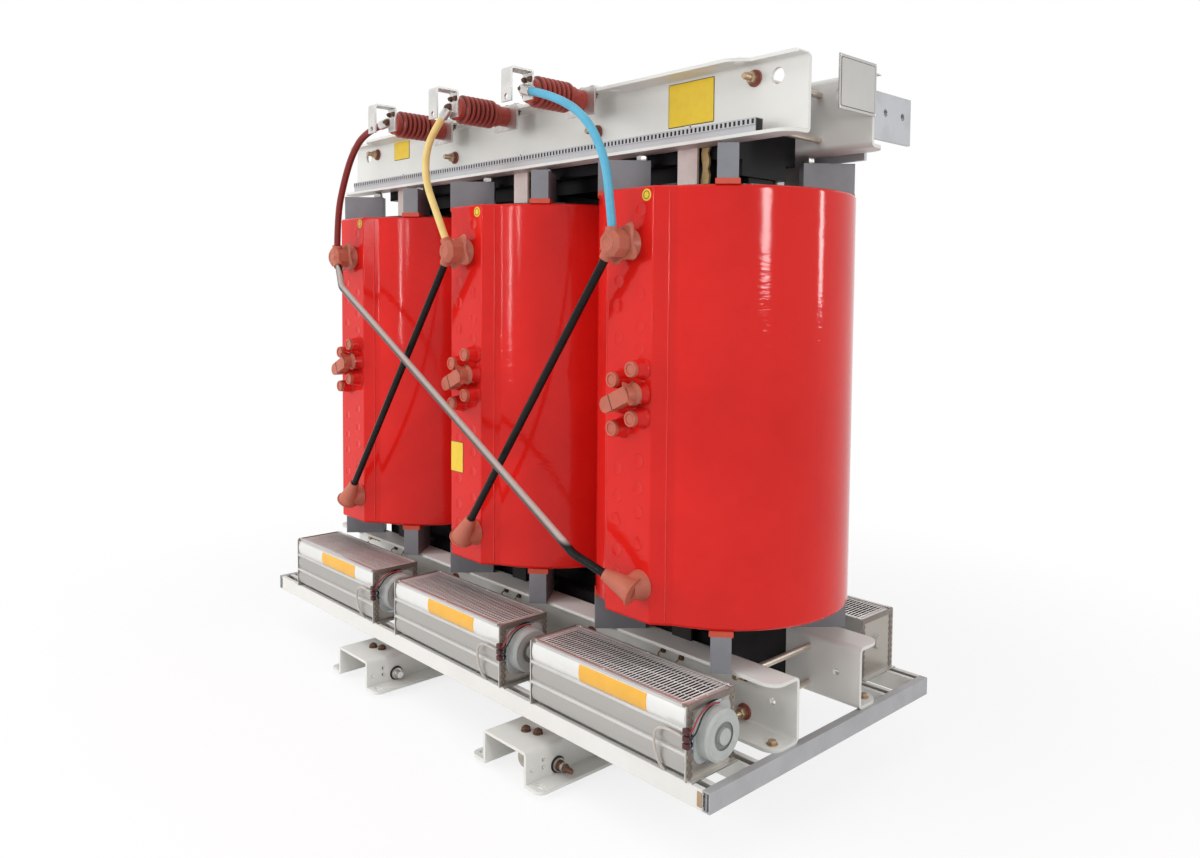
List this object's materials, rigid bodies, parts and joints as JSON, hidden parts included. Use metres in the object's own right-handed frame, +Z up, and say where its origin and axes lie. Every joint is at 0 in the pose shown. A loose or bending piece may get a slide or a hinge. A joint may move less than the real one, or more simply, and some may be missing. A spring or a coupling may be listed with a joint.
{
  "type": "power transformer",
  "caption": "Three-phase cast-resin dry power transformer with fan cooling on a wheeled base, front and rear clamps, delta bars, line insulators and low-voltage flags.",
  "frame": {"origin": "on the floor under the middle of the base", "axes": "+X along the row of coils, -Y towards the high-voltage front, +Z up"},
  "size_m": [1.962, 0.944, 1.709],
  "materials": {
    "frame_paint": "satin",
    "rail_grey": "satin",
    "wheel_iron": "matte",
    "zinc_steel": "satin",
    "core_steel": "satin",
    "tie_plate": "satin",
    "lv_resin": "gloss",
    "hv_resin": "gloss",
    "cap_rubber": "satin",
    "pad_silicone": "matte",
    "block_grey": "satin",
    "bar_sleeve": "satin",
    "post_resin": "satin",
    "tinned_copper": "satin",
    "lead_red": "satin",
    "lead_yellow": "satin",
    "lead_blue": "satin",
    "fan_aluminium": "satin",
    "motor_grey": "satin",
    "duct_grey": "matte",
    "plate_metal": "satin"
  },
  "bodies": {
    "transformer": {"trolley_left": "frame_paint", "trolley_right": "frame_paint", "wheel_axles": "zinc_steel", "trolley_feet": "frame_paint", "long_rails": "frame_paint", "end_rails": "rail_grey", "core": "core_steel", "lower_clamp_front": "frame_paint", "lower_clamp_rear": "frame_paint", "upper_clamp_front": "frame_paint", "upper_clamp_rear": "frame_paint", "tie_rods": "zinc_steel", "tie_plates": "tie_plate", "lv_windings": "lv_resin", "hv_winding_left": "hv_resin", "hv_winding_middle": "hv_resin", "hv_winding_right": "hv_resin", "tap_links": "cap_rubber", "support_pads": "pad_silicone", "support_blocks": "block_grey", "delta_bars": "bar_sleeve", "post_insulators": "post_resin", "insulator_plates": "zinc_steel", "line_terminals": "tinned_copper", "hv_lead_red": "lead_red", "hv_lead_yellow": "lead_yellow", "hv_lead_blue": "lead_blue", "top_caps": "cap_rubber", "bottom_caps": "cap_rubber", "fan_housings_front": "fan_aluminium", "fan_housings_rear": "fan_aluminium", "fan_grilles_front": "fan_aluminium", "fan_grilles_rear": "fan_aluminium", "fan_motors_front": "motor_grey", "fan_motors_rear": "motor_grey", "wiring_duct": "duct_grey", "name_plate": "plate_metal", "lv_terminals": "tinned_copper", "neutral_bar": "tinned_copper", "neutral_supports": "post_resin"},
    "wheel_front_left": {"wheel_front_left": "wheel_iron"},
    "wheel_front_right": {"wheel_front_right": "wheel_iron"},
    "wheel_rear_left": {"wheel_rear_left": "wheel_iron"},
    "wheel_rear_right": {"wheel_rear_right": "wheel_iron"}
  },
  "joints": [
    {"name": "wheel_front_left_spin", "type": "hinge", "parent": "transformer", "child": "wheel_front_left", "pos_m": [-0.356, -0.377, 0.044], "axis": [1, 0, 0], "continuous": true},
    {"name": "wheel_front_right_spin", "type": "hinge", "parent": "transformer", "child": "wheel_front_right", "pos_m": [0.392, -0.377, 0.044], "axis": [1, 0, 0], "continuous": true},
    {"name": "wheel_rear_left_spin", "type": "hinge", "parent": "transformer", "child": "wheel_rear_left", "pos_m": [-0.356, 0.377, 0.044], "axis": [1, 0, 0], "continuous": true},
    {"name": "wheel_rear_right_spin", "type": "hinge", "parent": "transformer", "child": "wheel_rear_right", "pos_m": [0.392, 0.377, 0.044], "axis": [1, 0, 0], "continuous": true}
  ]
}
